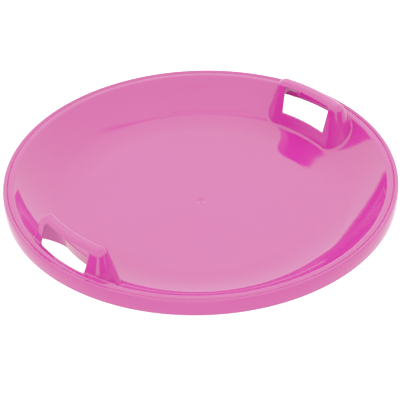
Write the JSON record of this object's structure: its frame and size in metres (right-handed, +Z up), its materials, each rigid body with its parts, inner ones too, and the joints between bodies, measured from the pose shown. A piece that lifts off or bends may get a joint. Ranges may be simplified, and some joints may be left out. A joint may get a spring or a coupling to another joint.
{
  "type": "saucer sled",
  "caption": "Round shallow saucer sled with a bowed floor, flared wall, turned-down rim lip and opposed moulded hand grips, for sitting in and sliding over snow.",
  "frame": {"origin": "centre of the flat pad under the floor, where the sled rests on level ground", "axes": "+Z up out of the dish, X through the two hand grips (right grip on +X), Y across"},
  "size_m": [0.5998, 0.5998, 0.084],
  "materials": {
    "moulding": "glossy opaque pink, moulded through"
  },
  "bodies": {
    "root": {"floor_pan": "moulding", "front_wall": "moulding", "back_wall": "moulding", "rim": "moulding", "left_handle": "moulding", "right_handle": "moulding"}
  },
  "joints": []
}
